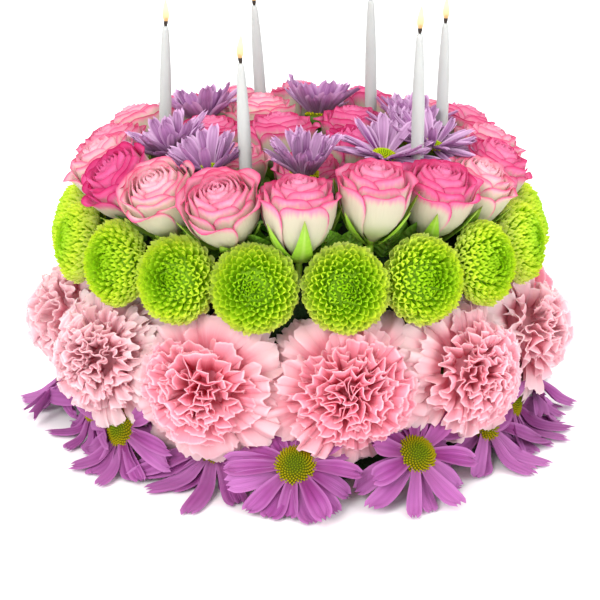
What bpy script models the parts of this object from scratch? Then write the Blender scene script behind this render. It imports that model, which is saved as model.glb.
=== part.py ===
"""A birthday cake made of fresh flowers, with six taper candles.

A round block of wet floral foam carries four tiers of blooms: a skirt of daisies
round its foot, a ring of carnations, a ring of button chrysanthemums and a ring of
bicolour spray roses on its rim. Roses and daisies fill the crown, and six white
tapers stand in them. Metres, +Z up, origin at the middle of the foam's base.

Every bloom is one closed solid lofted through rings of points, from the cut end of
its stem, which meets the foam, to the tip of its face.
"""

from math import atan2, cos, hypot, pi, radians, sin, tan
import random

import bmesh
import bpy
from mathutils import Matrix, Vector

MM = 0.001
GAP = 0.3 * MM  # between pieces that touch

# Foam block: an upright wall, and a flat crown with a shoulder that slopes down to the wall
FOAM_RADIUS = 95 * MM
FOAM_HEIGHT = 108 * MM
CROWN_RADIUS = 75 * MM
SHOULDER_SLOPE = radians(20)
FOAM_SIDES = 32

# Carnations, each pushed into the foam's wall
CARNATIONS = 11
CARNATION_BEARING = radians(10.9)
CARNATION_HEIGHT = 48.5 * MM
CARNATION_TILT = radians(10)
CARNATION_RADIUS = 28 * MM
CARNATION_WIDENING = 0.19  # sideways, where nothing presses on the petals
CARNATION_DEPTH = 31 * MM
CARNATION_NECK = 9 * MM  # green calyx between the wall and the petals
CARNATION_CREASES = 12

# Daisies of the skirt, which stand against the foam's foot and lap over each other
SKIRT_DAISIES = 16
SKIRT_DISTANCE = 120 * MM
SKIRT_HEIGHT = 17 * MM
SKIRT_TILT = radians(40)
SKIRT_PETAL_REACH = 28 * MM
SKIRT_DISC_RADIUS = 8.5 * MM
SKIRT_PETALS = 5
SKIRT_PETAL_SPREAD = radians(205)  # the part of the circle below the carnations
LOWEST_PETAL = 0.6 * MM

# Button chrysanthemums
POMS = 18
POMS_ON_A_SPRAY = 3
POM_BEARING = radians(10)
POM_DISTANCE = 108 * MM
POM_HEIGHT = 96.5 * MM
POM_TILT = radians(15)
POM_RADIUS = 18.9 * MM
POM_HALF_DEPTH = 12 * MM
POM_SIDES = 10

# Spray roses: a ring on the shoulder, and seven on the crown
ROSES = 18
ROSE_DISTANCE = 85 * MM  # of the stem's cut end from the axis
ROSE_TILT = radians(90) - SHOULDER_SLOPE
ROSE_RADIUS = 16.4 * MM
ROSE_LENGTH = 35 * MM
ROSE_SIDES = 8
CROWN_ROSES = ((-8, 10), (24, 30), (-18, 42), (-42, 14), (24, -4), (-30, -22), (4, -36))
CROWN_ROSE_LENGTHS = (36, 34, 37, 33, 32, 28, 28)

# Daisies of the crown, on stems
CROWN_DAISIES = (
    (-59, -21), (-41, -50), (2, -62), (38, -42), (61, -24),
    (51, 5), (55, 34), (9, 63), (-47, 44),
)
CROWN_DAISY_HEIGHT = 132 * MM
CROWN_DAISY_LEAN = radians(14)  # away from the axis
CROWN_DISC_RADIUS = 5.5 * MM
CROWN_PETAL_REACH = 14.5 * MM
CROWN_PETAL_RISE = 13 * MM
CROWN_PETALS = 6

# Daisy parts
DISC_DOME = 3.5 * MM
PETAL_THICKNESS = 1.6 * MM
CALYX_DEPTH = 6 * MM
STEM_RADIUS = 2.2 * MM

# Tapers, each its foot (across, along) the plan, the height of its wax top and its lean across
CANDLES = (
    (-66, 12, 190, 2), (-24, -60, 187, -3), (-19, 68, 190, -5),
    (36, 50, 196, -1), (54, -43, 197, 0), (69, 14, 191, 1),
)
CANDLE_RADIUS = 3 * MM
CANDLE_TIP_RADIUS = 1.5 * MM
CANDLE_TAPER = 34 * MM  # the length over which the taper narrows
WICK_RADIUS = 0.6 * MM
WICK_LENGTH = 4 * MM
CANDLE_SIDES = 8

COLOURS = {
    "floral_foam": (0.035, 0.075, 0.03, 0.95),
    "carnation_petal": (0.88, 0.42, 0.47, 0.6),
    "button_pom": (0.36, 0.62, 0.03, 0.6),
    "rose_petal": (0.86, 0.24, 0.42, 0.55),
    "daisy_petal": (0.50, 0.20, 0.60, 0.6),
    "candle_wax": (0.90, 0.91, 0.88, 0.35),
}


def start_empty():
    for obj in list(bpy.data.objects):
        bpy.data.objects.remove(obj)


def make_materials():
    """One Principled material for each kind of piece: red, green, blue and roughness."""
    made = {}
    for name, (red, green, blue, roughness) in COLOURS.items():
        material = bpy.data.materials.new(name)
        material.use_nodes = True
        shader = material.node_tree.nodes["Principled BSDF"]
        shader.inputs["Base Color"].default_value = (red, green, blue, 1)
        shader.inputs["Roughness"].default_value = roughness
        made[name] = material
    return made


# ---------------------------------------------------------------- places


def on_plan(bearing, distance, height):
    """The point at this bearing from the front, counted towards +X, and distance from the axis."""
    return Vector((distance * sin(bearing), -distance * cos(bearing), height))


def facing(point, bearing, elevation):
    """A bloom's frame: +Z the way it faces, +X level and +Y towards its upper edge."""
    ahead = Vector((sin(bearing) * cos(elevation), -cos(bearing) * cos(elevation), sin(elevation)))
    across = Vector((cos(bearing), sin(bearing), 0))
    frame = Matrix((across, ahead.cross(across), ahead)).transposed().to_4x4()
    return Matrix.Translation(point) @ frame


def wall_seat(bearing, height, radius, sides):
    """The ring of a stem's cut end where it meets the foam's upright wall."""
    centre = on_plan(bearing, FOAM_RADIUS + GAP, height)
    across = Vector((cos(bearing), sin(bearing), 0))
    up = Vector((0, 0, 1))
    turns = [2 * pi * i / sides for i in range(sides)]
    return [centre + radius * (cos(t) * across + sin(t) * up) for t in turns]


def crown_seat(point, bearing, radius, sides):
    """The ring of a stem's cut end where it stands on the foam's flat crown."""
    across = Vector((cos(bearing), sin(bearing), 0))
    back = Vector((-sin(bearing), cos(bearing), 0))
    turns = [2 * pi * i / sides for i in range(sides)]
    return [point + radius * (cos(t) * across + sin(t) * back) for t in turns]


# ---------------------------------------------------------------- meshes


def ring(sides, radius, height, turn=0.0):
    """Points round +Z. radius and height are numbers, or functions of the point's place in the ring."""
    points = []
    for i in range(sides):
        angle = turn + 2 * pi * i / sides
        r = radius(i) if callable(radius) else radius
        z = height(i) if callable(height) else height
        points.append(Vector((r * cos(angle), r * sin(angle), z)))
    return points


def loft(name, rings, tip, material, frame):
    """One closed mesh through rings of points, shut by a flat first ring and a tip point."""
    mesh = bmesh.new()
    loops = [[mesh.verts.new(point) for point in points] for points in rings]
    mesh.faces.new(reversed(loops[0]))
    sides = len(loops[0])
    for low, high in zip(loops, loops[1:]):
        for i in range(sides):
            j = (i + 1) % sides
            mesh.faces.new((low[i], low[j], high[j], high[i]))
    last = loops[-1]
    top = mesh.verts.new(tip)
    for i in range(sides):
        mesh.faces.new((last[i], last[(i + 1) % sides], top))
    data = bpy.data.meshes.new(name)
    mesh.to_mesh(data)
    mesh.free()
    data.materials.append(material)
    obj = bpy.data.objects.new(name, data)
    bpy.context.collection.objects.link(obj)
    obj.matrix_world = frame
    return obj


def into(frame, points):
    """World points, in the frame's own coordinates."""
    inverse = frame.inverted()
    return [inverse @ point for point in points]


def join_touching(body, others):
    """Unites blooms that press into each other with the first of them."""
    for other in others:
        other.hide_render = True
        other.display_type = "WIRE"
        union = body.modifiers.new("pressed_" + other.name, "BOOLEAN")
        union.operation = "UNION"
        union.solver = "EXACT"
        union.object = other


# ---------------------------------------------------------------- foam


def foam_core(material):
    """The turned block: flat base, upright wall, sloping shoulder and flat crown."""
    wall_top = FOAM_HEIGHT - (FOAM_RADIUS - CROWN_RADIUS) * tan(SHOULDER_SLOPE)
    rings = [
        ring(FOAM_SIDES, FOAM_RADIUS, 0),
        ring(FOAM_SIDES, FOAM_RADIUS, wall_top),
        ring(FOAM_SIDES, CROWN_RADIUS, FOAM_HEIGHT),
    ]
    loft("foam_core", rings, Vector((0, 0, FOAM_HEIGHT)), material, Matrix())


# ---------------------------------------------------------------- blooms


def carnation_bearings():
    return [CARNATION_BEARING + 2 * pi * i / CARNATIONS for i in range(CARNATIONS)]


def carnation(name, bearing, chance, material):
    """A calyx, petals that flare from it, and a ruffled dome whose creases shift from ring to ring."""
    back = FOAM_RADIUS + CARNATION_NECK
    frame = facing(on_plan(bearing, back, CARNATION_HEIGHT), bearing, CARNATION_TILT)
    sides = CARNATION_CREASES
    creases = [chance.uniform(0.4, 1) * (-1) ** i for i in range(sides)]

    def creased(share, depth, shift):
        def radius(i):
            widened = 1 + CARNATION_WIDENING * cos(2 * pi * i / sides) ** 2
            return CARNATION_RADIUS * widened * (share + depth * creases[(i + shift) % sides])

        return radius

    def rippled(share, depth, shift):
        return lambda i: CARNATION_DEPTH * (share + depth * creases[(i + shift) % sides])

    seat = wall_seat(bearing, CARNATION_HEIGHT - CARNATION_NECK * tan(CARNATION_TILT), 7 * MM, sides)
    rings = [
        into(frame, seat),
        ring(sides, 9 * MM, 1 * MM),
        ring(sides, creased(0.95, 0.05, 5), rippled(0.48, 0.06, 2)),
        ring(sides, creased(0.74, 0.06, 9), rippled(0.80, 0.06, 7)),
        ring(sides, creased(0.40, 0.07, 3), rippled(0.93, 0.06, 11)),
    ]
    loft(name, rings, Vector((0, 0, 0.97 * CARNATION_DEPTH)), material, frame)


def button_pom(name, bearing, chance, material):
    """A squashed ball of tight florets with a dimple where they close."""
    frame = facing(on_plan(bearing, POM_DISTANCE, POM_HEIGHT), bearing, POM_TILT)
    grain = [chance.uniform(-0.012, 0.012) for _ in range(POM_SIDES)]
    deep = POM_HALF_DEPTH

    def florets(share, shift):
        # Widest level with the neighbours on both sides, where the blooms press together.
        return lambda i: POM_RADIUS * (share + grain[i] + 0.018 * (-1) ** shift * cos(8 * pi * i / POM_SIDES))

    seat_height = POM_HEIGHT - (POM_DISTANCE - FOAM_RADIUS) * tan(POM_TILT)
    rings = [
        into(frame, wall_seat(bearing, seat_height, 5 * MM, POM_SIDES)),
        ring(POM_SIDES, florets(0.82, 1), -0.55 * deep),
        ring(POM_SIDES, florets(1.0, 0), 0.1 * deep),
        ring(POM_SIDES, florets(0.80, 1), 0.78 * deep),
        ring(POM_SIDES, florets(0.38, 0), 1.12 * deep),
    ]
    return loft(name, rings, Vector((0, 0, 0.98 * deep)), material, frame)


def pom_sprays(chance, material):
    """Button chrysanthemums grow in sprays: each node is one spray of three that press together."""
    for first in range(0, POMS, POMS_ON_A_SPRAY):
        blooms = []
        for i in range(first, first + POMS_ON_A_SPRAY):
            # The outer two lean on the middle one, which leaves a gap to the next spray.
            lean = (POMS_ON_A_SPRAY // 2 - (i - first)) * radians(0.5)
            bearing = POM_BEARING + 2 * pi * i / POMS + lean
            blooms.append(button_pom(f"pom_bloom_{i + 1:02d}", bearing, chance, material))
        body = blooms.pop(1)
        body.name = f"button_pom_spray_{first // POMS_ON_A_SPRAY + 1}"
        join_touching(body, blooms)


def rose(name, frame, seat, length, chance, material):
    """A goblet of overlapping petals: swelling cup, lobed rim, groove and bud."""
    lobes = 5
    turn = chance.uniform(0, 2 * pi)

    def lobed(share, depth):
        def radius(i):
            return ROSE_RADIUS * (share + depth * cos(lobes * 2 * pi * i / ROSE_SIDES + turn))

        return radius

    rings = [
        into(frame, seat),
        ring(ROSE_SIDES, 0.62 * ROSE_RADIUS, 0.28 * length),
        ring(ROSE_SIDES, lobed(0.95, 0.03), 0.84 * length),
        ring(ROSE_SIDES, lobed(0.84, 0.03), 0.96 * length),
        ring(ROSE_SIDES, 0.58 * ROSE_RADIUS, 0.88 * length),
        ring(ROSE_SIDES, 0.36 * ROSE_RADIUS, 1.0 * length),
    ]
    loft(name, rings, Vector((0, 0, 0.99 * length)), material, frame)


def shoulder_roses(chance, material):
    """The ring of roses, square to the foam's sloping shoulder."""
    drop = (ROSE_DISTANCE - CROWN_RADIUS) * tan(SHOULDER_SLOPE)
    lift = GAP / cos(SHOULDER_SLOPE)
    for i in range(ROSES):
        bearing = 2 * pi * i / ROSES
        foot = on_plan(bearing, ROSE_DISTANCE, FOAM_HEIGHT - drop + lift)
        frame = facing(foot, bearing, ROSE_TILT)
        seat = [frame @ point for point in ring(ROSE_SIDES, 3.4 * MM, 0)]
        rose(f"rose_{i + 1:02d}", frame, seat, ROSE_LENGTH, chance, material)


def crown_roses(chance, material):
    """Upright roses that stand on the flat crown, each leaning a little away from the axis."""
    for i, ((across, along), length) in enumerate(zip(CROWN_ROSES, CROWN_ROSE_LENGTHS)):
        foot = Vector((across * MM, along * MM, FOAM_HEIGHT + GAP))
        bearing = atan2(across, -along)
        lean = 0.1 * hypot(across, along) / hypot(*CROWN_ROSES[3])
        frame = facing(foot, bearing, radians(90) - lean)
        seat = crown_seat(foot, bearing, 3.4 * MM, ROSE_SIDES)
        rose(f"crown_rose_{i + 1}", frame, seat, length * MM, chance, material)


def daisy(name, frame, seat, disc_radius, edge, material):
    """A domed disc, a ring of petals of even thickness, and a stem to the foam.

    edge lists the petals' outline as (angle, radius, rise) in turn, tip and notch by turns.
    """

    def round_disc(radius, height):
        return [Vector((radius * cos(angle), radius * sin(angle), height)) for angle, _, _ in edge]

    outline = [Vector((reach * cos(angle), reach * sin(angle), rise)) for angle, reach, rise in edge]
    under = [point - Vector((0, 0, PETAL_THICKNESS)) for point in outline]
    rings = [
        into(frame, seat),
        round_disc(STEM_RADIUS, -CALYX_DEPTH),
        round_disc(0.8 * disc_radius, -PETAL_THICKNESS),
        under,
        outline,
        round_disc(disc_radius, 0.5 * PETAL_THICKNESS),
    ]
    return loft(name, rings, Vector((0, 0, DISC_DOME)), material, frame)


def skirt_daisy(name, bearing, chance, material):
    """A daisy at the foam's foot: its petals fan out and down to the table."""
    height = SKIRT_HEIGHT + chance.uniform(-0.8, 0.8) * MM
    frame = facing(on_plan(bearing, SKIRT_DISTANCE, height), bearing, SKIRT_TILT)
    first = -pi / 2 - SKIRT_PETAL_SPREAD / 2 + chance.uniform(-0.07, 0.07)
    edge = []
    for i in range(2 * SKIRT_PETALS + 1):
        angle = first + SKIRT_PETAL_SPREAD * i / (2 * SKIRT_PETALS)
        reach = SKIRT_PETAL_REACH * (0.62 if i % 2 else chance.uniform(0.97, 1.03))
        flat = frame @ Vector((reach * cos(angle), reach * sin(angle), 0))
        # A petal that would pass below the table bends up along it.
        short_of = LOWEST_PETAL + PETAL_THICKNESS * sin(SKIRT_TILT) - flat.z
        edge.append((angle, reach, max(0.0, short_of) / sin(SKIRT_TILT)))
    for share in (0.25, 0.5, 0.75):
        # The petals that the carnations hide are pressed short against the disc.
        angle = first + SKIRT_PETAL_SPREAD + share * (2 * pi - SKIRT_PETAL_SPREAD)
        edge.append((angle, 1.15 * SKIRT_DISC_RADIUS, 0))
    centre = on_plan(bearing, FOAM_RADIUS + GAP, height - 6 * MM)
    across = Vector((cos(bearing), sin(bearing), 0))
    up = Vector((0, 0, 1))
    seat = [centre + STEM_RADIUS * (cos(angle) * across + sin(angle) * up) for angle, _, _ in edge]
    return daisy(name, frame, seat, SKIRT_DISC_RADIUS, edge, material)


def daisy_skirt(chance, material):
    """Daisies whose petals lap over each other all the way round, as one piece."""
    blooms = []
    for i in range(SKIRT_DAISIES):
        bearing = 2 * pi * i / SKIRT_DAISIES
        blooms.append(skirt_daisy(f"skirt_bloom_{i + 1:02d}", bearing, chance, material))
    body = blooms.pop(0)
    body.name = "daisy_skirt"
    join_touching(body, blooms)


def crown_daisies(material):
    """Cupped daisies on stems. Two petals part where the nearest candle passes."""
    for i, (across, along) in enumerate(CROWN_DAISIES):
        bearing = atan2(across, -along)
        head = Vector((across * MM, along * MM, CROWN_DAISY_HEIGHT))
        frame = facing(head, bearing, radians(90) - CROWN_DAISY_LEAN)
        near = min(CANDLES, key=lambda candle: hypot(candle[0] - across, candle[1] - along))
        towards = frame.inverted() @ Vector((near[0] * MM, near[1] * MM, head.z))
        notch = atan2(towards.y, towards.x)
        edge = []
        for step in range(2 * CROWN_PETALS):
            angle = notch + pi * step / CROWN_PETALS
            tip = step % 2
            reach = CROWN_PETAL_REACH if tip else 0.62 * CROWN_PETAL_REACH
            edge.append((angle, reach, CROWN_PETAL_RISE if tip else 0.45 * CROWN_PETAL_RISE))
        foot = Vector((across * MM, along * MM, FOAM_HEIGHT + GAP))
        across_stem = Vector((cos(bearing), sin(bearing), 0))
        back = Vector((-sin(bearing), cos(bearing), 0))
        seat = [foot + STEM_RADIUS * (cos(a) * across_stem + sin(a) * back) for a, _, _ in edge]
        daisy(f"crown_daisy_{i + 1:02d}", frame, seat, CROWN_DISC_RADIUS, edge, material)


# ---------------------------------------------------------------- candles


def candle(name, across, along, top, lean, material):
    """A taper that stands on the foam: straight shaft, narrowing tip and wick, leaning a little."""
    foot = Vector((across * MM, along * MM, FOAM_HEIGHT + GAP))
    length = top * MM - foot.z
    profile = [
        (CANDLE_RADIUS, 0),
        (CANDLE_RADIUS, length - CANDLE_TAPER),
        (CANDLE_TIP_RADIUS, length - 1.5 * MM),
        (WICK_RADIUS, length),
        (WICK_RADIUS, length + WICK_LENGTH),
    ]

    def leant(height):
        return Vector((lean * MM * height / length, 0, 0))

    rings = [[p + leant(height) for p in ring(CANDLE_SIDES, r, height)] for r, height in profile]
    end = length + WICK_LENGTH
    loft(name, rings, leant(end) + Vector((0, 0, end)), material, Matrix.Translation(foot))


def main():
    start_empty()
    chance = random.Random(11)
    materials = make_materials()
    foam_core(materials["floral_foam"])
    for i, bearing in enumerate(carnation_bearings()):
        carnation(f"carnation_{i + 1:02d}", bearing, chance, materials["carnation_petal"])
    daisy_skirt(chance, materials["daisy_petal"])
    pom_sprays(chance, materials["button_pom"])
    shoulder_roses(chance, materials["rose_petal"])
    crown_roses(chance, materials["rose_petal"])
    crown_daisies(materials["daisy_petal"])
    for i, (across, along, top, lean) in enumerate(CANDLES):
        candle(f"candle_{i + 1}", across, along, top, lean, materials["candle_wax"])


main()
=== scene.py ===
import bpy
import numpy as np
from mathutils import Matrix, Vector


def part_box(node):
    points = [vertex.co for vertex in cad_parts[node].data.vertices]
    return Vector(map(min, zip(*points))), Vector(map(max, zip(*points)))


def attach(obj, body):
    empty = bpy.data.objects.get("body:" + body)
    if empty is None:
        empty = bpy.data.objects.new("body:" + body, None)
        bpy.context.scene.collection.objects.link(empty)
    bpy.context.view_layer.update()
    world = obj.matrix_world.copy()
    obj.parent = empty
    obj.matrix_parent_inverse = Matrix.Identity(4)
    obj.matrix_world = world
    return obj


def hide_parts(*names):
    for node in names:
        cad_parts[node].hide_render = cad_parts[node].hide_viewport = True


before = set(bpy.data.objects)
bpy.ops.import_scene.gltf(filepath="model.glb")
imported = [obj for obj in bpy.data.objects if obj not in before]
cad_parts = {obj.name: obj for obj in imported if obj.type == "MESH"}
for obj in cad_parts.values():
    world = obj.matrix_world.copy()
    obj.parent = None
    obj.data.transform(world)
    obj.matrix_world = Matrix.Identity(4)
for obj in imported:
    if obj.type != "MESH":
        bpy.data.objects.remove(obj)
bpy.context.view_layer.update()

# A birthday cake made of fresh flowers, with six lit tapers in its crown. It is put together
# here as a florist does it: the wet foam first, then the skirt of daisies, the carnations, the
# button chrysanthemums, the spray roses, the crown's daisies, and the tapers last. Every bloom
# is grown petal by petal round the place of its solid in the frame. Lengths are in metres.

MM = 0.001
link = bpy.context.scene.collection.objects.link

# -------------------------------- the floral foam
# A drum of dark green phenolic foam, soaked with water, that holds every stem. It is cut
# with a wire, so its face is flat but crumbly, with fine open cells. It only shows as dark
# gaps between the blooms.


class Wire:
    """A link out of a shader node. Sums and products of wires add Math nodes."""

    def __init__(self, finish, socket):
        self.finish, self.socket = finish, socket

    def maths(self, operation, *terms):
        return self.finish.node("Math", {"operation": operation}, dict(enumerate(terms)))

    def __add__(self, other):
        return self.maths("ADD", self, other)

    def __sub__(self, other):
        return self.maths("SUBTRACT", self, other)

    def __rsub__(self, other):
        return self.maths("SUBTRACT", other, self)

    def __mul__(self, other):
        return self.maths("MULTIPLY", self, other)

    def __abs__(self):
        return self.maths("ABSOLUTE", self)


class Finish:
    """One material. node() adds any node from its type, its settings and its sockets' values or links."""

    def __init__(self, name):
        self.material = bpy.data.materials.new(name)
        self.material.use_nodes = True
        self.tree = self.material.node_tree
        self.tree.nodes.clear()

    def node(self, kind, settings=None, sockets=None, result=0):
        made = self.tree.nodes.new("ShaderNode" + kind)
        for key, value in (settings or {}).items():
            if key == "stops":
                stops = made.color_ramp.elements
                while len(stops) < len(value):
                    stops.new(0.5)
                for stop, (place, colour) in zip(stops, value):
                    stop.position, stop.color = place, (*colour, 1)
            else:
                setattr(made, key, value)
        for key, value in (sockets or {}).items():
            if isinstance(value, Wire):
                self.tree.links.new(value.socket, made.inputs[key])
            else:
                made.inputs[key].default_value = value
        return Wire(self, made.outputs[result]) if made.outputs else None

    def reading(self, name):
        """A number that the mesh carries at each point."""
        return self.node("Attribute", {"attribute_name": name}, result=2)

    def ramp(self, factor, *stops):
        return self.node("ValToRGB", {"stops": stops}, {"Fac": factor})

    def blend(self, factor, one, other):
        """The first colour where factor is 0 and the second where it is 1."""
        one, other = [c if isinstance(c, Wire) else (*c, 1) for c in (one, other)]
        return self.node("Mix", {"data_type": "RGBA"}, {0: factor, 6: one, 7: other}, 2)

    def smooth(self, value, low, high):
        """0 below low, 1 above high, and an S-curve between them."""
        settings = {"interpolation_type": "SMOOTHSTEP"}
        return self.node("MapRange", settings, {"Value": value, "From Min": low, "From Max": high})

    def noise(self, scale, detail):
        """Noise of about this many blotches to the metre, on the object's own coordinates."""
        place = self.node("TexCoord", result=3)
        return self.node("TexNoise", sockets={"Vector": place, "Scale": scale, "Detail": detail})

    def streaks(self, across, along):
        """Noise on two readings of a petal, drawn out where one of them changes slowly."""
        place = self.node("CombineXYZ", sockets={0: across, 1: along})
        return self.node("TexNoise", {"noise_dimensions": "2D"}, {"Vector": place, "Scale": 1.0})

    def shader(self, colour, roughness, height=None, depth=0, gloss=0.5, **others):
        """The Principled shader, with a bump of this depth where a height is given."""
        sockets = {"Base Color": colour, "Roughness": roughness, "Specular IOR Level": gloss, **others}
        if height is not None:
            sockets["Normal"] = self.node("Bump", sockets={"Height": height, "Distance": depth})
        return self.node("BsdfPrincipled", sockets=sockets)

    def petal(self, colour, roughness, through, height=None, depth=0, **others):
        """A petal: the share through of the light that falls on one side comes out of the other."""
        front = self.shader(colour, roughness, height, depth, **others)
        behind = self.node("BsdfTranslucent", sockets={"Color": colour})
        return self.surface(self.node("MixShader", sockets={0: through, 1: front, 2: behind}))

    def surface(self, shader):
        self.node("OutputMaterial", sockets={"Surface": shader})
        return self.material


crease = np.radians(80)  # edges that bend more than this look sharp


def piece(name, points, faces, material, nodes, slot, **readings):
    """An object at the origin from points (n, 3) and arrays of three- or four-cornered faces."""
    mesh = bpy.data.meshes.new(name)
    corners = np.concatenate([f.ravel() for f in faces])
    sizes = np.concatenate([np.full(len(f), f.shape[1]) for f in faces])
    mesh.vertices.add(len(points))
    mesh.vertices.foreach_set("co", points.astype(np.float32).ravel())
    mesh.loops.add(len(corners))
    mesh.loops.foreach_set("vertex_index", corners.astype(np.int32))
    mesh.polygons.add(len(sizes))
    mesh.polygons.foreach_set("loop_start", (np.cumsum(sizes) - sizes).astype(np.int32))
    mesh.polygons.foreach_set("use_smooth", np.ones(len(sizes), bool))
    for reading, values in readings.items():
        attribute = mesh.attributes.new(reading, "FLOAT", "POINT")
        attribute.data.foreach_set("value", values.astype(np.float32))
    mesh.update(calc_edges=True)
    mesh.set_sharp_from_angle(angle=crease)
    mesh.materials.append(material)
    made = bpy.data.objects.new(name, mesh)
    link(made)
    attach(made, "root")
    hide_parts(*nodes)


def skin(rows, columns, first=0):
    """Faces of a closed tube whose points run column by column round each row, with both ends shut."""
    place = first + np.arange(rows * columns).reshape(rows, columns)
    low, high = place[:-1], place[1:]
    side = np.stack([low, np.roll(low, -1, 1), np.roll(high, -1, 1), high], -1).reshape(-1, 4)
    bottom, top = first + rows * columns, first + rows * columns + 1
    foot = np.stack([np.full(columns, bottom), np.roll(place[0], -1), place[0]], -1)
    head = np.stack([np.full(columns, top), place[-1], np.roll(place[-1], -1)], -1)
    return side, np.concatenate([foot, head])


def turned(profile, sides, sway=None):
    """Points of a turned shape: each (radius, height) of the profile carried round the axis.

    x = r cos a, y = r sin a, z = h. sway moves each row across; the first and last rows are shut
    by a point at their middle.
    """
    radius, height = np.array(profile, float).T
    angle = np.linspace(0, 2 * np.pi, sides, endpoint=False)
    middle = np.zeros((len(radius), 3))
    middle[:, 2] = height
    if sway is not None:
        middle[:, :2] += sway
    ring = np.stack([np.cos(angle), np.sin(angle), 0 * angle], -1)
    body = middle[:, None] + radius[:, None, None] * ring
    return np.concatenate([body.reshape(-1, 3), middle[[0, -1]]])


def solid(node):
    """A solid's low corner, high corner, middle, and bearing from -Y towards +X."""
    low, high = np.array(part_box(node))
    centre = (low + high) / 2
    return low, high, centre, np.arctan2(centre[0], -centre[1])


chance = np.random.default_rng(7)
golden = np.radians(137.508)  # from one petal, floret or leaf of a spiral to the next

low, high, _, _ = solid("foam_core")
foam_radius, foam_height = (high[0] - low[0]) / 2 - 0.5 * MM, high[2]
bevel = 20 * MM  # how far the sloping shoulder reaches in
foam_wall = foam_height - bevel * np.tan(np.radians(20))
around, over = 110, 18  # points round the drum, rings over its top
up_wall, up_bevel = 26, 7  # rings up its wall and up its shoulder

finish = Finish("wet_floral_foam")
cells = finish.noise(900, 3)
crumbs = finish.noise(160, 4)
colour = finish.ramp(cells * 0.5 + crumbs * 0.5, (0.3, (0.004, 0.010, 0.003)), (0.7, (0.015, 0.038, 0.012)))
foam_finish = finish.surface(finish.shader(colour, 0.92, cells + crumbs, 0.6 * MM, gloss=0.15))

levels = np.concatenate([np.linspace(0, foam_wall, up_wall), np.linspace(foam_wall, foam_height, up_bevel)[1:]])
slope = np.clip((levels - foam_wall) / (foam_height - foam_wall), 0, 1)
profile = np.stack([foam_radius - bevel * slope, levels], -1)
rings = np.linspace(foam_radius - bevel, 4 * MM, over + 1)[1:]
inward = np.stack([rings, np.full(over, foam_height)], -1)
points = turned(np.concatenate([profile, inward]), around)
crumble = chance.uniform(-0.35, 0.0, len(points)) * MM
on_top, at_foot = points[:, 2:] > foam_height - 0.1 * MM, points[:, 2] < 0.5 * MM
outward = np.where(on_top, [[0, 0, 1.0]], points * [1, 1, 0] / foam_radius)
outward[at_foot] = 0
points += crumble[:, None] * outward
piece("foam", points, skin(len(levels) + over, around), foam_finish, ["foam_core"], "floral_foam")

# -------------------------------- the skirt of daisies
# Purple spray daisies with short stems pushed into the foam's foot. Their strap petals fan
# out and down to the plate, lap over their neighbours' and have two grooves and a blunt,
# notched tip. The eye is a dome of tiny yellow-green tube florets.


def thin(middle, thickness):
    """Thin closed leaves from their middle surfaces (leaf, row, column, 3).

    The face is middle + half the thickness along (rows' direction x columns' direction) and the
    back is middle - half of it. Both meet all round the rim, where the thickness is nothing.
    """
    count, rows, columns, _ = middle.shape
    normal = np.cross(np.gradient(middle, axis=1), np.gradient(middle, axis=2))
    normal /= np.maximum(np.linalg.norm(normal, axis=-1, keepdims=True), 1e-12)
    inside = np.zeros((rows, columns, 1))
    inside[1:-1, 1:-1] = 0.5 * thickness
    face = (middle + normal * inside).reshape(-1, 3)
    back = (middle - normal * inside)[:, 1:-1, 1:-1].reshape(-1, 3)
    on_face = np.arange(len(face)).reshape(count, rows, columns)
    on_back = on_face.copy()
    on_back[:, 1:-1, 1:-1] = len(face) + np.arange(len(back)).reshape(count, rows - 2, columns - 2)

    def quads(place, turn):
        corners = [place[:, :-1, :-1], place[:, 1:, :-1], place[:, 1:, 1:], place[:, :-1, 1:]]
        return np.stack(corners[::turn], -1).reshape(-1, 4)

    return np.concatenate([face, back]), (np.concatenate([quads(on_face, 1), quads(on_back, -1)]),)


def both(values, shape):
    """A reading given on the leaves' grid, repeated for their backs."""
    values = np.broadcast_to(values, shape)
    return np.concatenate([values.ravel(), values[:, 1:-1, 1:-1].ravel()])


def sides_of(shape):
    """0 on a leaf's face, 1 on its back and a half along its rim."""
    count, rows, columns = shape
    face = np.full(shape, 0.5)
    face[:, 1:-1, 1:-1] = 0
    return np.concatenate([face.ravel(), np.ones(count * (rows - 2) * (columns - 2))])


def facing(points, seat, bearing, elevation):
    """Points of a bloom that faces +Z, turned and moved to its seat.

    +Z goes to the bearing (from -Y towards +X) and the elevation, and +Y to the bloom's upper edge.
    """
    across = np.array([np.cos(bearing), np.sin(bearing), 0])
    level, rise = np.cos(elevation), np.sin(elevation)
    ahead = np.array([np.sin(bearing) * level, -np.cos(bearing) * level, rise])
    return seat + points @ np.stack([across, np.cross(ahead, across), ahead])


def on_plan(bearing, distance, height):
    """The point at this bearing, distance from the axis and height."""
    return np.array([distance * np.sin(bearing), -distance * np.cos(bearing), height])


def draws(grain, count):
    """A function that draws one number from low to high for each of count petals."""
    return lambda low, high: grain.uniform(low, high, (count, 1, 1))


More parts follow.
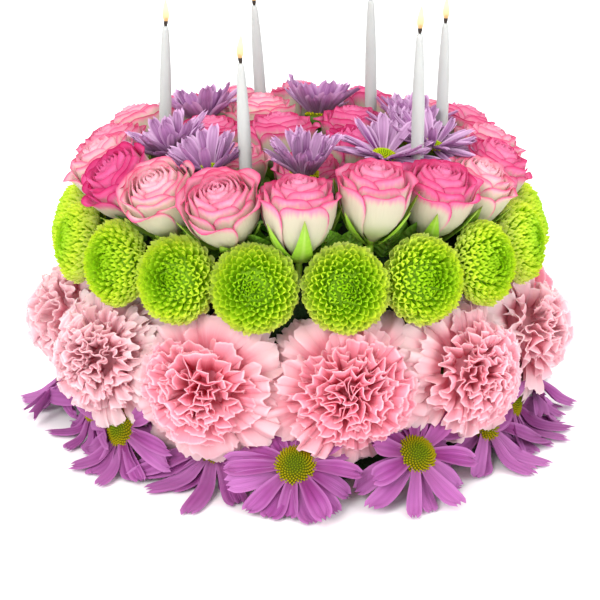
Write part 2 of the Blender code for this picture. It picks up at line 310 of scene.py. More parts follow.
class Bunch:
    """Collects the parts of like blooms, so that they become one piece."""

    def __init__(self):
        self.points, self.faces, self.readings, self.count = [], [], {}, 0

    def add(self, points, faces, **readings):
        self.points.append(points)
        self.faces += [f + self.count for f in faces]
        for name, values in readings.items():
            self.readings.setdefault(name, []).append(np.broadcast_to(values, len(points)))
        self.count += len(points)

    def grow(self, middle, thickness, stance=None, sided=False, **readings):
        """Thin leaves from their middle surfaces, with readings that are given on the same grid.

        stance is the seat, bearing and elevation of the bloom; sided adds the reading side.
        """
        shape = middle.shape[:3]
        points, faces = thin(middle, thickness)
        readings = {name: both(values, shape) for name, values in readings.items()}
        if sided:
            readings["side"] = sides_of(shape)
        self.add(facing(points, *stance) if stance else points, faces, **readings)

    def make(self, name, material, nodes, slot):
        readings = {key: np.concatenate(values) for key, values in self.readings.items()}
        piece(name, np.concatenate(self.points), self.faces, material, nodes, slot, **readings)


def strap_petals(azimuth, length, width, start, rise, curl, lift, bow, cup):
    """Strap petals round +Z, as middle surfaces (petal, row, column, 3).

    Each petal's middle line leaves the eye at radius start and height lift, with slope angle
    rise + curl v. Its half width is width/2 (0.5 + 0.5 v/0.55), narrowed by sqrt(1 - 0.84 s^2.9)
    where s runs from 0 at v = 0.68 to 1 at the blunt, notched tip. Grooves 0.35 mm deep run
    along it, its sides lift by cup u^2 of its width and it bends sideways by bow v^2.
    """
    v = np.linspace(0, 1, 11)[None, :, None]
    u = np.linspace(-1, 1, 9)[None, None, :]
    azimuth, length, width, rise, curl, lift, bow = (
        np.asarray(a)[:, None, None] for a in (azimuth, length, width, rise, curl, lift, bow))
    tip = np.clip((v - 0.68) / 0.32, 0, 1)
    half = 0.5 * width * (0.5 + 0.5 * np.clip(v / 0.55, 0, 1)) * np.sqrt(1 - 0.84 * tip**2.9)
    notch = 0.045 * (np.cos(2 * np.pi * u) - 1) * tip**2
    slope = rise + curl * v
    step = length / 10
    still = 0 * slope[:, :1]
    run, climb = (
        np.cumsum(np.concatenate([still, wave(slope[:, 1:]) * step], 1), 1) for wave in (np.cos, np.sin))
    out = start + run + notch * length
    groove = 0.35 * MM * np.cos(3 * np.pi * u) * np.sin(np.pi * np.clip(v * 1.1, 0, 1))
    up = lift + climb + (cup * width * u**2 - groove)
    side = half * u + bow * v**2
    radial = np.stack([np.cos(azimuth), np.sin(azimuth)], -1)
    across = np.stack([-np.sin(azimuth), np.cos(azimuth)], -1)
    plan = out[..., None] * radial + side[..., None] * across
    return np.concatenate([plan, np.broadcast_to(up, plan.shape[:3])[..., None]], -1), v, u


def eye(radius, dome, count):
    """A daisy's eye: a dome set with tube florets on a sunflower spiral.

    Floret k sits at radius R sqrt(k/n) and angle 137.5 k degrees, on z = dome (1 - (r/R)^2.2). Each is
    a five-sided bead; the outer ones are larger and lean out.
    """
    k = np.arange(count) + 0.5
    reach = np.sqrt(k / count)
    turn = k * golden
    seat = np.stack([radius * reach * np.cos(turn), radius * reach * np.sin(turn), dome * (1 - reach**2.2)], -1)
    lean = np.stack([np.cos(turn) * reach * 0.7, np.sin(turn) * reach * 0.7, np.ones(count)], -1)
    lean /= np.linalg.norm(lean, axis=-1, keepdims=True)
    size = radius * (0.72 + 0.42 * reach) / np.sqrt(count)
    bead = turned([(1.0, -0.4), (0.55, 1.2)], 5)
    side = np.cross(lean, [0, 0, 1.0]) + [1e-9, 0, 0]
    side /= np.linalg.norm(side, axis=-1, keepdims=True)
    axes = np.stack([side, np.cross(lean, side), lean], 1)
    beads = seat[:, None] + (bead * size[:, None, None]) @ axes
    widths = radius * np.array([0.55, 1.02, 0.97, 0.5, 0.15])
    heights = -2.2 * MM, -1.0 * MM, 0.1 * MM, dome * 0.72, dome * 0.92
    base = turned(np.stack([widths, heights], -1), 24)
    bead_side, bead_ends = skin(2, 5)
    many = (np.arange(count) * len(bead))[:, None, None]
    base_side, base_ends = skin(5, 24, count * len(bead))
    faces = ((bead_side + many).reshape(-1, 4), (bead_ends + many).reshape(-1, 3), base_side, base_ends)
    rank = np.concatenate([np.repeat(reach, len(bead)), np.full(len(base), 0.5)])
    top = np.concatenate([np.tile(np.clip(bead[:, 2] / 1.2, 0, 1), count), np.zeros(len(base))])
    return np.concatenate([beads.reshape(-1, 3), base]), faces, rank, top


def daisy_finish(name, face, deep, back, edge, through, border):
    """Strap petals: veins along them, deeper at the root, painted shade in the grooves, paler borders that are
    partly painted highlight, and paler backs.
    """
    finish = Finish(name)
    along, across, side, shade = (finish.reading(r) for r in ("along", "across", "side", "tone"))
    veins = finish.streaks(across * 9 + shade * 40, along * 0.8)
    groove = finish.node("Math", {"operation": "COSINE"}, {0: across * 9.42}) * 0.5 + 0.5
    blotch = finish.noise(55, 2)
    colour = finish.blend(finish.smooth(along, 0.0, 0.75), deep, face)
    colour = finish.blend(finish.smooth(along, 0.35, 1.0) * (veins * 1.3 - 0.2), colour, edge)
    # painted shade: the grooves darker, with a darker tone on some petals at random
    colour = finish.blend(groove * 0.35 + (1 - shade) * 0.22, colour, deep)
    colour = finish.blend(finish.smooth(blotch + shade * 0.5, 0.45, 0.95) * 0.4, colour, edge)
    colour = finish.blend(finish.smooth(shade, 0.7, 1.0) * border * 0.5, colour, edge)
    colour = finish.blend(side * 0.75, colour, finish.blend(veins, back, face))
    # paler borders along the petals' sides: partly their own paler margin, partly painted highlight
    colour = finish.blend(finish.smooth(abs(across), 0.5, 1.0) * border, colour, edge)
    return finish.petal(colour, 0.55, through, veins + groove * 0.5, 0.35 * MM, gloss=0.35)


def eye_finish(name, middle, rim):
    """Tube florets: green and closed in the middle, yellow with pollen where they are open, and painted shade,
    almost black, low down between them.
    """
    finish = Finish(name)
    rank, top = finish.reading("rank"), finish.reading("top")
    pollen = finish.noise(2500, 2)
    colour = finish.blend(finish.smooth(rank, 0.25, 0.85), middle, rim)
    # painted shade: almost black low on the florets and on the dome between them, broken up by noise
    colour = finish.blend(finish.smooth(top + pollen * 0.4, 0.9, 0.2) * 0.85, colour, (0.06, 0.09, 0.005))
    return finish.surface(finish.shader(colour, 0.7, pollen, 0.15 * MM, gloss=0.05))


skirt_finish = daisy_finish(
    "purple_daisy_petals", face=(0.44, 0.078, 0.39), deep=(0.22, 0.016, 0.16), back=(0.50, 0.20, 0.46),
    edge=(0.58, 0.22, 0.54), through=0.35, border=0.35)
skirt_eye_finish = eye_finish("olive_daisy_eye", (0.13, 0.18, 0.002), (0.27, 0.22, 0.003))

plate = 0.9 * MM  # the lowest that a petal lies
near = 6 * MM  # below this height the plate begins to hold a petal up
swings = (-1, 3.5, 6, 2, -2, 2, 0, 3, -2, 1, 3, -3, 0, 2, -2, 1)  # degrees off the even spacing
tucks = (  # 0: stands out, 1: tucked right under the carnations
    0.0, 0.1, 0.6, 0.75, 0.5, 0.1, 0.3, 0.7, 0.2, 0.4, 0.1, 0.6, 0.3, 0.8, 0.5, 1.0)
petals, eyes = Bunch(), Bunch()
for i, (swing, tuck) in enumerate(zip(swings, tucks)):
    bearing = np.radians(22.5 * i + swing)
    tilt = np.radians(chance.uniform(32, 44) - 14 * tuck)
    seat = on_plan(bearing, (121 - 16 * tuck) * MM, chance.uniform(18, 20) * MM)
    count = 19
    azimuth = 2 * np.pi * (np.arange(count) + chance.uniform(-0.45, 0.45, count)) / count + chance.uniform(0, 1)
    below = 0.5 - 0.5 * np.sin(azimuth)  # 1 for a petal that points down, 0 for one that points up
    length = (13 + (14 + 10 * tuck) * np.clip(below * 2.0, 0, 1)) * MM * chance.uniform(0.80, 1.08, count)
    layer = np.arange(count) % 2
    middle, v, u = strap_petals(
        azimuth, length, chance.uniform(7.6, 10.8, count) * MM, 6 * MM,
        chance.uniform(-0.05, 0.35, count) - 0.14 * layer, chance.uniform(-1.1, 0.25, count),
        -0.8 * MM * layer, chance.uniform(-3.5, 3.5, count) * MM, cup=0.12)
    middle[..., 2] += chance.uniform(-0.6, 0.6, count)[:, None, None] * u * v * 5 * MM
    middle = facing(middle, seat, bearing, tilt)
    height = middle[..., 2]
    laid = np.where(height < near, plate + (near - plate) * np.exp((height - near) / (near - plate)), height)
    middle += 0.6 * (laid - height)[..., None] * on_plan(bearing, 1, 0)  # what the plate stops runs outward
    middle[..., 2] = laid
    shade = chance.uniform(0, 1, count)[:, None, None]
    petals.grow(middle, 0.45 * MM, sided=True, along=v, across=u, tone=shade)
    points, faces, rank, top = eye(9.0 * MM, 4.0 * MM, 210)
    eyes.add(facing(points, seat, bearing, tilt), faces, rank=rank, top=top)
petals.make("skirt_petals", skirt_finish, ["daisy_skirt"], "daisy_petal")
eyes.make("skirt_eyes", skirt_eye_finish, ["daisy_skirt"], "daisy_petal")

# -------------------------------- the carnations
# Full standard carnations, each pushed up to its calyx into the foam's wall. Some sixty
# fringed petals crowd out of the green calyx; their rims are gathered into ruffles, pink in
# the folds and almost white at the toothed edge.

carnation_petal_count = 62


def carnation_petals(grain, waves, reach, depth, stretch, first, last, rows, columns):
    """Petals first to last of a carnation round +Z, as middle surfaces (petal, row, column, 3).

    Petal k points at azimuth 137.5 k and, with t = k/n, at slope 2 + 84 t^0.9 degrees from the
    axis and up to 6 more for the last, the guard petals. A point of it is r d, where
    d = unit(p + X t_across + Y t_down). X = W u fans the petal out. Its rim meanders: X loses
    B sin(2 f) and Y gains A sin(f), summed over waves f = k.q + c through the fan's own point q,
    so that the folds of neighbouring petals nest. Guard petals are broader and longer, with
    gentler folds and a crinkled rim. The distance r follows an ellipsoid of the given reach and
    depth, and teeth of 1 % of it fringe the rim.
    """
    each = draws(grain, last - first)
    k = np.arange(first, last)[:, None, None]
    t = (k + 0.5) / carnation_petal_count
    guard = np.clip((t - 0.58) / 0.27, 0, 1)
    v = np.array(rows)[None, :, None]
    u = np.linspace(-1, 1, columns)[None, None, :]
    azimuth = k * golden + each(-0.25, 0.25)
    slope = np.radians(2 + 84 * t**0.9 + 6 * guard) + each(-0.10, 0.10)
    pointing = np.stack([np.sin(slope) * np.cos(azimuth), np.sin(slope) * np.sin(azimuth), np.cos(slope)], -1)
    across = np.stack([-np.sin(azimuth), np.cos(azimuth), 0 * azimuth], -1)
    down = np.stack([np.cos(slope) * np.cos(azimuth), np.cos(slope) * np.sin(azimuth), -np.sin(slope)], -1)
    fan = each(0.34, 0.46) + 0.20 * guard
    spread = fan * (0.45 + 0.55 * v) * u
    still = pointing + spread[..., None] * across
    still /= np.linalg.norm(still, axis=-1, keepdims=True)
    ways, starts = waves
    folds = (still @ ways.T) * (1 - 0.45 * guard)[..., None] + starts
    folds = folds + each(-0.8, 0.8)[..., None] + (2.0 * t)[..., None]
    ripple = 9 * u + each(0, 6.28)
    swing = v**1.3 * (1 - 0.25 * guard)
    x = spread - swing * (0.017 * np.sin(2 * folds).sum(-1) + 0.006 * np.sin(ripple))
    y = swing * (0.060 * np.sin(folds).sum(-1) * each(0.8, 1.2) + 0.015 * np.sin(ripple))
    y = y + v**3 * (0.04 + 0.22 * t) + 0.10 * u**2 * (1 - t)
    direction = pointing + x[..., None] * across + y[..., None] * down
    direction /= np.linalg.norm(direction, axis=-1, keepdims=True)
    side = np.linalg.norm(direction[..., :2], axis=-1)
    shell = depth + (reach - depth) * side**2
    ragged = 0.6 + 0.8 * grain.uniform(-1, 1, (last - first, 1, columns))
    teeth = 0.010 * (-1) ** np.arange(columns) * ragged
    outline = (1 - 0.15 * np.abs(u) ** 2.6) * (each(0.90, 1.02) + guard * each(0.14, 0.36))
    outline = outline + teeth * v**14 + 0.016 * np.sin(ripple * 0.7) * v**3
    crinkle = guard * v**5 * np.sin(17 * u + 3 * np.sin(4 * u + each(0, 6.28)) + each(0, 6.28))
    radius = shell * (0.30 + 0.70 * v) * (outline + 0.035 * crinkle)
    direction = direction + 0.045 * crinkle[..., None] * down
    return radius[..., None] * direction * [stretch, 1, 1], v, u, t, guard


finish = Finish("carnation_petals")
along, rank, shade, guard = (finish.reading(r) for r in ("along", "rank", "tone", "guard"))
mottle = finish.noise(140, 3)
streak = finish.streaks(finish.reading("across") * 14 + rank * 50, along * 1.2)
body = finish.blend(shade, (0.94, 0.41, 0.53), (0.96, 0.80, 0.83))
rim = finish.blend(shade, (0.96, 0.70, 0.77), (0.96, 0.84, 0.85))
body = finish.blend(guard * 0.9, body, finish.blend(shade, (0.95, 0.68, 0.72), (0.95, 0.82, 0.82)))
heart = finish.blend(rank, (0.93, 0.21, 0.33), (0.94, 0.40, 0.50))
heart = finish.blend(shade * 0.6, heart, body)
colour = finish.blend(finish.smooth(along, 0.45, 0.92), heart, body)
colour = finish.blend(finish.smooth(along + mottle * 0.04, 0.965, 1.01), colour, rim)
colour = finish.blend(finish.smooth(streak, 0.45, 0.8) * 0.3, colour, rim)
# the guard petals whiter over their outer half
guard_white = finish.blend(shade, (0.93, 0.78, 0.80), (0.95, 0.87, 0.87))
colour = finish.blend(guard * finish.smooth(along, 0.55, 0.98) * 0.75, colour, guard_white)
carnation_finish = finish.petal(colour, 0.6, 0.62, streak + mottle * 0.5, 0.25 * MM, gloss=0.25)

finish = Finish("green_stems")
mottle = finish.noise(300, 3)
colour = finish.ramp(mottle, (0.3, (0.06, 0.16, 0.02)), (0.7, (0.16, 0.30, 0.05)))
stem_finish = finish.surface(finish.shader(colour, 0.5, mottle, 0.2 * MM))

calyxes = Bunch()
carnation_nodes = [f"carnation_{i:02d}" for i in range(1, 12)]
shades = (0.12, 0.42, 0.75, 0.3, 0.08, 0.45, 0.22, 0.55, 0.85, 0.75, 0.2)  # 0: pink, 1: palest
core = MM * np.array([(5, 0), (12, 4), (14, 8), (12, 12), (7, 15), (2, 16)])  # what the petals grow from
tube = MM * np.array([(3.5, -8.6), (6.0, -7.0), (7.5, -2), (8.0, 0)])
parts = (  # first and last petal, the rows along it, columns across it
    (0, 44, (0.42, 0.74, 0.88, 0.96, 1), 41),
    (44, carnation_petal_count, (0.15, 0.5, 0.73, 0.87, 0.95, 1), 41))
for i, (node, shade) in enumerate(zip(carnation_nodes, shades)):
    _, _, centre, bearing = solid(node)
    seat = on_plan(bearing, foam_radius + 9 * MM, centre[2] - 2.8 * MM)
    stance = seat, bearing, np.radians(10 + chance.uniform(-4, 4))
    grain = np.random.default_rng(100 + i)
    ways = grain.normal(0, 1, (3, 3))
    ways *= grain.uniform(36, 50, (3, 1)) / np.linalg.norm(ways, axis=1, keepdims=True)
    waves = ways, grain.uniform(0, 6.28, 3)
    reach, stretch = grain.uniform(28.5, 30) * MM, grain.uniform(1.04, 1.12)
    bunch = Bunch()
    bunch.add(facing(turned(core, 16), *stance), skin(6, 16), along=0.3, across=0, rank=0, guard=0, tone=shade)
    for part in parts:
        middle, v, u, t, guard = carnation_petals(grain, waves, reach, 31 * MM, stretch, *part)
        middle[..., 2] += 1.5 * MM
        bunch.grow(middle, 0.35 * MM, stance, along=v, across=u, rank=t, guard=guard, tone=shade)
    bunch.make(f"carnation_bloom_{i + 1:02d}", carnation_finish, [node], "carnation_petal")
    calyxes.add(facing(turned(tube, 20), seat, bearing, 0), skin(4, 20))
calyxes.make("carnation_calyxes", stem_finish, carnation_nodes, "floral_foam")

# -------------------------------- the button chrysanthemums
# Lime-green button chrysanthemums, three to a spray, pinned close together. A button is a
# tight squashed ball of scoop-shaped florets on a spiral: closed and dark in the dimple,
# rounder and yellower towards the rim.

floret_count = 250


def button_florets(grain, radius, depth, first, last, rows, columns):
    """Scoop florets first to last round +Z, as middle surfaces (floret, row, column, 3).

    Floret k sits at azimuth 137.5 k and slope s = 2 + 108 (k/n)^0.7 degrees on the ellipsoid
    (radius sin s, depth cos s), dented at its pole. It grows outward from inside the ball along
    a line that leans 0.92 s and a little more from the axis. Its half width grows to v = 0.6 and
    narrows by sqrt(1 - 0.86 q^2.8) where q runs from 0 at v = 0.55 to 1 at the tip, and its
    sides and tip rise towards the axis like a scoop's.
    """
    each = draws(grain, last - first)
    k = np.arange(first, last)[:, None, None]
    t = (k + 0.5) / floret_count
    v = 1 - 0.75 * np.linspace(1, 0, rows)[None, :, None] ** 1.4
    u = np.linspace(-1, 1, columns)[None, None, :]
    azimuth = k * golden + each(-0.06, 0.06)
    slope = np.radians(2 + 108 * t**0.7) + each(-0.03, 0.03)
    lean = slope * 0.92 + 0.06 + 0.10 * np.sin(slope) + each(-0.08, 0.08)
    size = each(0.92, 1.08)
    dent = 1 - 0.16 * np.exp(-((slope / 0.40) ** 2))
    out = radius * np.sin(slope) * size**0.4
    up = depth * np.cos(slope) * dent * size**0.4
    length = (5.0 + 4.0 * t**0.6) * MM * size
    half = (1.25 + 1.25 * t**0.5) * MM * size
    tip = np.clip((v - 0.55) / 0.45, 0, 1)
    wide = half * (0.55 + 0.45 * np.clip(v / 0.6, 0, 1)) * np.sqrt(1 - 0.86 * tip**2.8)
    reach = (v - 1) * length
    scoop = half * u**2 * (0.4 + 0.6 * v) + (0.3 + 0.9 * t) * half * tip**2
    radial = out + reach * np.sin(lean) - scoop * np.cos(lean)
    rise = up + reach * np.cos(lean) + scoop * np.sin(lean)
    side = wide * u
    x = radial * np.cos(azimuth) - side * np.sin(azimuth)
    y = radial * np.sin(azimuth) + side * np.cos(azimuth)
    return np.stack([x, y, np.broadcast_to(rise, x.shape)], -1), v, u, t


finish = Finish("button_florets")
along, across, rank, shade = (finish.reading(r) for r in ("along", "across", "rank", "tone"))
mottle = finish.noise(500, 2)
inner = finish.ramp(rank, (0.0, (0.22, 0.48, 0.003)), (0.35, (0.54, 0.77, 0.010)), (1.0, (0.80, 0.88, 0.050)))
tips = finish.ramp(rank, (0.0, (0.46, 0.75, 0.008)), (0.4, (0.84, 0.92, 0.10)), (1.0, (0.91, 0.94, 0.48)))
edge = finish.smooth(along, 0.5, 1.0)
# painted shade: a darker green down the middle of each scoop, in its hollow
hollow_shade = 1 - finish.smooth(abs(across), 0.0, 0.9)
colour = finish.blend(edge, finish.blend(hollow_shade * 0.5, inner, (0.38, 0.66, 0.004)), tips)
colour = finish.blend(mottle * 0.2 + shade * 0.12, colour, (0.62, 0.82, 0.01))
button_finish = finish.petal(colour, 0.5, 0.6, gloss=0.3)

finish = Finish("button_cores")
core_finish = finish.surface(finish.shader((0.26, 0.48, 0.006, 1), 0.8))

button_tilt = np.radians(15)
ball = MM * np.array([(3, -12.4), (6, -9), (12, -6), (13, -1), (10, 2.5), (6, 4), (3, 4.4)])
cores = Bunch()
spray_nodes = [f"button_pom_spray_{i}" for i in range(1, 7)]
for i, node in enumerate(spray_nodes):
    _, _, centre, spray_bearing = solid(node)
    for j, swing in enumerate((-19.5, 0, 19.5)):  # degrees from the spray's middle bloom
        bearing = np.radians(round(np.degrees(spray_bearing) / 10) * 10 + swing)
        seat = on_plan(bearing, foam_radius + 13 * MM, centre[2])
        grain = np.random.default_rng(200 + 3 * i + j)
        wide = grain.uniform(18.9, 19.8) * MM
        stance, shade = (seat, bearing, button_tilt + grain.uniform(-0.07, 0.07)), grain.uniform(0, 1)
        bunch = Bunch()
        for part in ((0, 80, 5, 4), (80, floret_count, 6, 5)):  # first, last, rows, columns
            middle, v, u, t = button_florets(grain, wide, 13 * MM, *part)
            bunch.grow(middle, 0.35 * MM, stance, along=v, across=u, rank=t, tone=shade)
        bunch.make(f"button_{3 * i + j + 1:02d}", button_finish, [node], "button_pom")
        cores.add(facing(turned(ball, 20), *stance), skin(7, 20))
cores.make("button_cores", core_finish, spray_nodes, "button_pom")

# -------------------------------- the spray roses
# Bicolour spray roses cut short: a ring of them on the foam's shoulder, leaning outward, and
# more that stand in the crown. The outer petals are cream with a thin deep pink rim that rolls
# back, the inner ones a tight pink spiral, and five long sepals point up from the hip.


def rose_petals(grain, radius, length, whorls, stations, columns):
    """A rose's petals round +Z, as middle surfaces (petal, row, column, 3).

    A petal is a sheet wrapped round the axis. With w the height v less a drop towards the
    corners, its azimuth is a + B u (0.45 + 0.55 w^0.6), its height H (0.1 + 0.9 w), and its
    distance R (0.2 + 0.8 (1 - (1 - w)^2.8)), which swells from the hip to the rim. The rims of
    the outer whorls roll outward, most at the middle, and those of the inner ones close onto
    the next whorl. Long waves and a fine ripple run round every rim.
    """
    rim, height, wide, roll, close = (
        np.concatenate([np.full(w[0], w[c]) for w in whorls])[:, None, None] for c in (1, 2, 3, 4, 5))
    spin = np.concatenate([np.arange(w[0]) * 2 * np.pi / w[0] + 6 * w[1] for w in whorls])[:, None, None]
    each = draws(grain, len(spin))
    rank = (1 - rim) / 0.9
    spin = spin + each(-0.22, 0.22)
    height = height + each(-0.03, 0.02) * (1 - 0.7 * rank)
    rim = rim * each(0.985, 1.015)
    start = 0.55 * rank
    v = start + (1 - start) * np.array(stations)[None, :, None]
    u = np.linspace(-1, 1, columns)[None, None, :]
    w = v * (1 - (0.20 - 0.16 * np.clip(2.2 * rank, 0, 1)) * np.abs(u) ** 3.2)
    angle = spin + wide * u * (0.45 + 0.55 * w**0.6) * (1 - 0.14 * v**8)
    swell = 0.2 + 0.8 * (1 - (1 - w) ** 2.8)
    shut = close * np.clip((v - 0.60) / 0.40, 0, 1) ** 1.6
    curl = np.clip((w - 0.80) / 0.20, 0, 1) ** 2 * (0.6 + 0.4 * np.cos(np.pi * u)) * roll * MM * each(0.6, 1.3)
    wave = (0.15 + 0.50 * (1 - rank)) * MM * w**5 * np.sin(np.pi * each(1.0, 1.8) * u + each(0, 6.28))
    wave = wave + 0.24 * MM * w**9 * np.sin(each(9, 13) * u + each(0, 6.28))
    out = (radius - 3 * MM) * rim * swell * (1 - shut) * (1 + (0.05 + 0.05 * rank) * u) + curl + wave
    up = length * height * (0.10 + 0.90 * w) - 0.75 * curl + 0.6 * wave - 0.25 * shut * rim * radius
    out = out + 0.7 * (1 - rank) * MM * np.exp(-((u / 0.22) ** 2)) * np.clip((w - 0.85) / 0.15, 0, 1)
    middle = np.stack([out * np.cos(angle), out * np.sin(angle), np.broadcast_to(up, angle.shape)], -1)
    edge = np.maximum((v - start) / (1 - start), np.abs(u) ** 5 * np.clip(v * 1.3, 0, 1))
    return middle, edge, u, rank


def sepals(grain, radius, length):
    """Five long pointed sepals round +Z, as middle surfaces (sepal, row, column, 3).

    They follow the cup's own swell 1.3 mm outside it, up to 0.55 to 0.8 of its height, with a half
    width of 5.2 to 6.6 mm (1 - v)^0.9; their tips part from it by 0.4 to 3 mm v^3.
    """
    each = draws(grain, 5)
    v = np.linspace(0, 1, 10)[None, :, None]
    u = np.linspace(-1, 1, 5)[None, None, :]
    spin = (np.arange(5) * 2 * np.pi / 5)[:, None, None] + each(-0.3, 0.3)
    reach = each(0.55, 0.80)
    half = each(5.2, 6.6) * MM * (1 - v) ** 0.9 * np.minimum(0.45 + 3 * v, 1)
    w = v * reach
    swell = 0.2 + 0.8 * (1 - (1 - w) ** 2.8)
    off = each(0.4, 3.0) * MM * v**3
    out = (radius - 3 * MM) * swell * 1.03 + 1.3 * MM + off - 0.5 * MM * u**2
    up = length * 0.9 * (0.06 + 0.94 * w)
    sway = each(-2.5, 2.5) * MM * v**2
    side = half * u + sway
    x = out * np.cos(spin) - side * np.sin(spin)
    y = out * np.sin(spin) + side * np.cos(spin)
    return np.stack([x, y, np.broadcast_to(up, x.shape)], -1), v, u


finish = Finish("rose_petals")
edge, across, rank, side, hue = (finish.reading(r) for r in ("edge", "across", "rank", "side", "hue"))
mottle = finish.noise(220, 3)
veins = finish.streaks(across * 10 + rank * 60, edge * 1.5)
cream = finish.blend(finish.smooth(edge + rank * 4, 0.05, 0.5), (0.48, 0.62, 0.22), (0.72, 0.77, 0.58))
pink = finish.blend(hue, (0.94, 0.64, 0.70), (0.84, 0.18, 0.46))
deep = finish.blend(hue, (0.88, 0.30, 0.46), (0.74, 0.055, 0.28))
pale = finish.blend(hue, (0.95, 0.79, 0.80), (0.86, 0.24, 0.52))
inside = finish.blend(finish.smooth(rank, 0.1, 0.55), pink, pale)
margin = finish.smooth(edge + mottle * 0.05 - 0.025, 0.925, 0.985)
root = finish.blend(rank, (0.93, 0.72, 0.68), inside)
face = finish.blend(finish.smooth(edge + mottle * 0.2, 0.3, 0.95), root, inside)
face = finish.blend(margin * (0.9 - rank * 0.7), face, deep)
reverse = finish.blend(finish.smooth(edge + veins * 0.15 + hue * 0.10, 0.90, 1.08), cream, pink)
inner = finish.smooth(rank, 0.12, 0.5)
blush = finish.blend(hue, (0.95, 0.80, 0.79), (0.92, 0.46, 0.62))
blush = finish.blend(finish.smooth(edge + mottle * 0.3, 0.6, 1.1), blush, inside)
reverse = finish.blend(inner, reverse, blush)
reverse = finish.blend(margin * (1.0 - inner * 0.72), reverse, deep)
colour = finish.blend(side, face, reverse)
line = finish.smooth(edge + mottle * 0.03 - 0.015, 0.972, 0.998)
deepest = finish.blend(hue, (0.80, 0.13, 0.32), (0.58, 0.020, 0.19))
colour = finish.blend(line * (0.85 - inner * 0.6), colour, deepest)
rose_finish = finish.petal(colour, 0.5, 0.58, veins + mottle * 0.3, 0.25 * MM, gloss=0.35)

finish = Finish("rose_sepals")
along, across = finish.reading("along"), finish.reading("across")
mottle = finish.noise(400, 3)
rib = 1 - finish.smooth(abs(across), 0.0, 0.35)
colour = finish.blend(mottle, (0.19, 0.42, 0.014), (0.34, 0.56, 0.05))
colour = finish.blend(rib * 0.5, colour, (0.46, 0.62, 0.15))
colour = finish.blend(finish.smooth(along, 0.7, 1.0) * 0.6, colour, (0.26, 0.28, 0.05))
sepal_finish = finish.petal(colour, 0.45, 0.2, mottle, 0.2 * MM)

rose_nodes = [f"rose_{i:02d}" for i in range(1, 19)]
crown_rose_nodes = [f"crown_rose_{i}" for i in range(1, 8)]
hues = (  # 0: pale, 1: deep pink; the ring's, then the crown's
    0.58, 0.58, 0.82, 0.05, 0.75, 0.30, 0.60, 0.15, 0.80, 0.50, 0.25, 0.75, 0.20, 0.45, 0.12, 1.00, 0.08, 0.38,
    0.8, 0.9, 0.15, 0.75, 1.0, 0.3, 0.7)
tilts = (84, 79, 71, 64, 63, 70, 66, 74, 68, 72, 64, 70, 66, 72, 60, 48, 57, 58)  # degrees up from level
rises = (3, 8, 3, -2, -1, 0, 2, 1, 0, 2, 0, 1, 2, 0, 0, -1, 0, 0)  # of the face above 140, in mm
outer_whorls = (  # petals, rim radius, rim height, half width, roll out in mm, closing in
    (5, 1.00, 0.87, 0.92, 3.0, 0.02),
    (5, 0.91, 0.92, 0.96, 1.4, 0.10),
    (4, 0.81, 0.955, 1.14, 0.5, 0.19),
    (4, 0.70, 0.98, 1.18, 0.0, 0.26))
inner_whorls = (
    (3, 0.58, 0.990, 1.45, 0.0, 0.33),
    (3, 0.45, 1.002, 1.50, 0.0, 0.40),
    (3, 0.32, 1.010, 1.60, 0.0, 0.50),
    (2, 0.19, 1.010, 2.10, 0.0, 0.64))
parts = (  # whorls, the rows along their petals, columns across them
    (outer_whorls, (0, 0.25, 0.45, 0.62, 0.76, 0.87, 0.95, 1), 15),
    (inner_whorls, (0, 0.4, 0.66, 0.84, 0.95, 1), 13))
hip = MM * np.array([(1.6, -12), (1.6, 0), (1.8, 1.5), (3.4, 3), (3.6, 5), (2.6, 7)])
hips = Bunch()
for i, (node, hue) in enumerate(zip(rose_nodes + crown_rose_nodes, hues)):
    low, high, centre, bearing = solid(node)
    grain = np.random.default_rng(300 + i)
    radius = grain.uniform(18.5, 20.3) * MM
    if node in rose_nodes:
        tilt, length = np.radians(tilts[i]), grain.uniform(39.5, 42) * MM
        ahead = np.cos(bearing) ** 2
        face = on_plan(bearing, (90 + 20 * np.cos(tilt) + 6 * ahead) * MM, (140 + rises[i] + 2 * ahead) * MM)
        seat = face - length * on_plan(bearing, np.cos(tilt), np.sin(tilt))
    else:
        seat = np.array([centre[0], centre[1], low[2] + 3 * MM]) - on_plan(bearing, 1.5 * MM, 0)
        tilt, length = np.radians(82 + grain.uniform(-7, 5)), high[2] - low[2] + 1 * MM
    grain.uniform(0, 6.28)  # keeps the order of the draws
    bunch, stance = Bunch(), (seat, bearing, tilt)
    for part in parts:
        middle, edge, u, rank = rose_petals(grain, radius, length, *part)
        bunch.grow(middle, 0.45 * MM, stance, sided=True, edge=edge, across=u, rank=rank, hue=hue)
    bunch.make(f"{node}_bloom", rose_finish, [node], "rose_petal")
    middle, v, u = sepals(grain, radius, length)
    hips.grow(middle, 0.4 * MM, stance, along=v, across=u)
    hips.add(facing(turned(hip, 14), *stance), skin(6, 14), along=0.2, across=0.5)
hips.make("rose_sepals", sepal_finish, rose_nodes + crown_rose_nodes, "rose_petal")


def leaf_blade(grain):
    """A leaflet that grows along +Z with its upper side to +Y, as a middle surface.

    The half width is 5.2 to 7 mm sin(pi v^0.8) with a toothed edge, and the length 20 to 27 mm.
    The blade folds up a little along its midrib, y = 0.28 |x|, and droops by 2 to 7 mm v^2.
    """
    each = draws(grain, 1)
    v = np.linspace(0, 1, 13)[None, :, None]
    u = np.linspace(-1, 1, 7)[None, None, :]
    saw = 1 + 0.10 * (np.arange(13)[None, :, None] % 2) * np.abs(u) ** 3
    x = each(5.2, 7.0) * MM * (0.03 + np.sin(np.pi * v**0.8)) * u * saw
    y = 0.28 * np.abs(x) - each(2, 7) * MM * v**2 + each(-0.3, 0.3) * x
    z = each(20, 27) * MM * v
    return np.stack(np.broadcast_arrays(x, y, z), -1), v, u


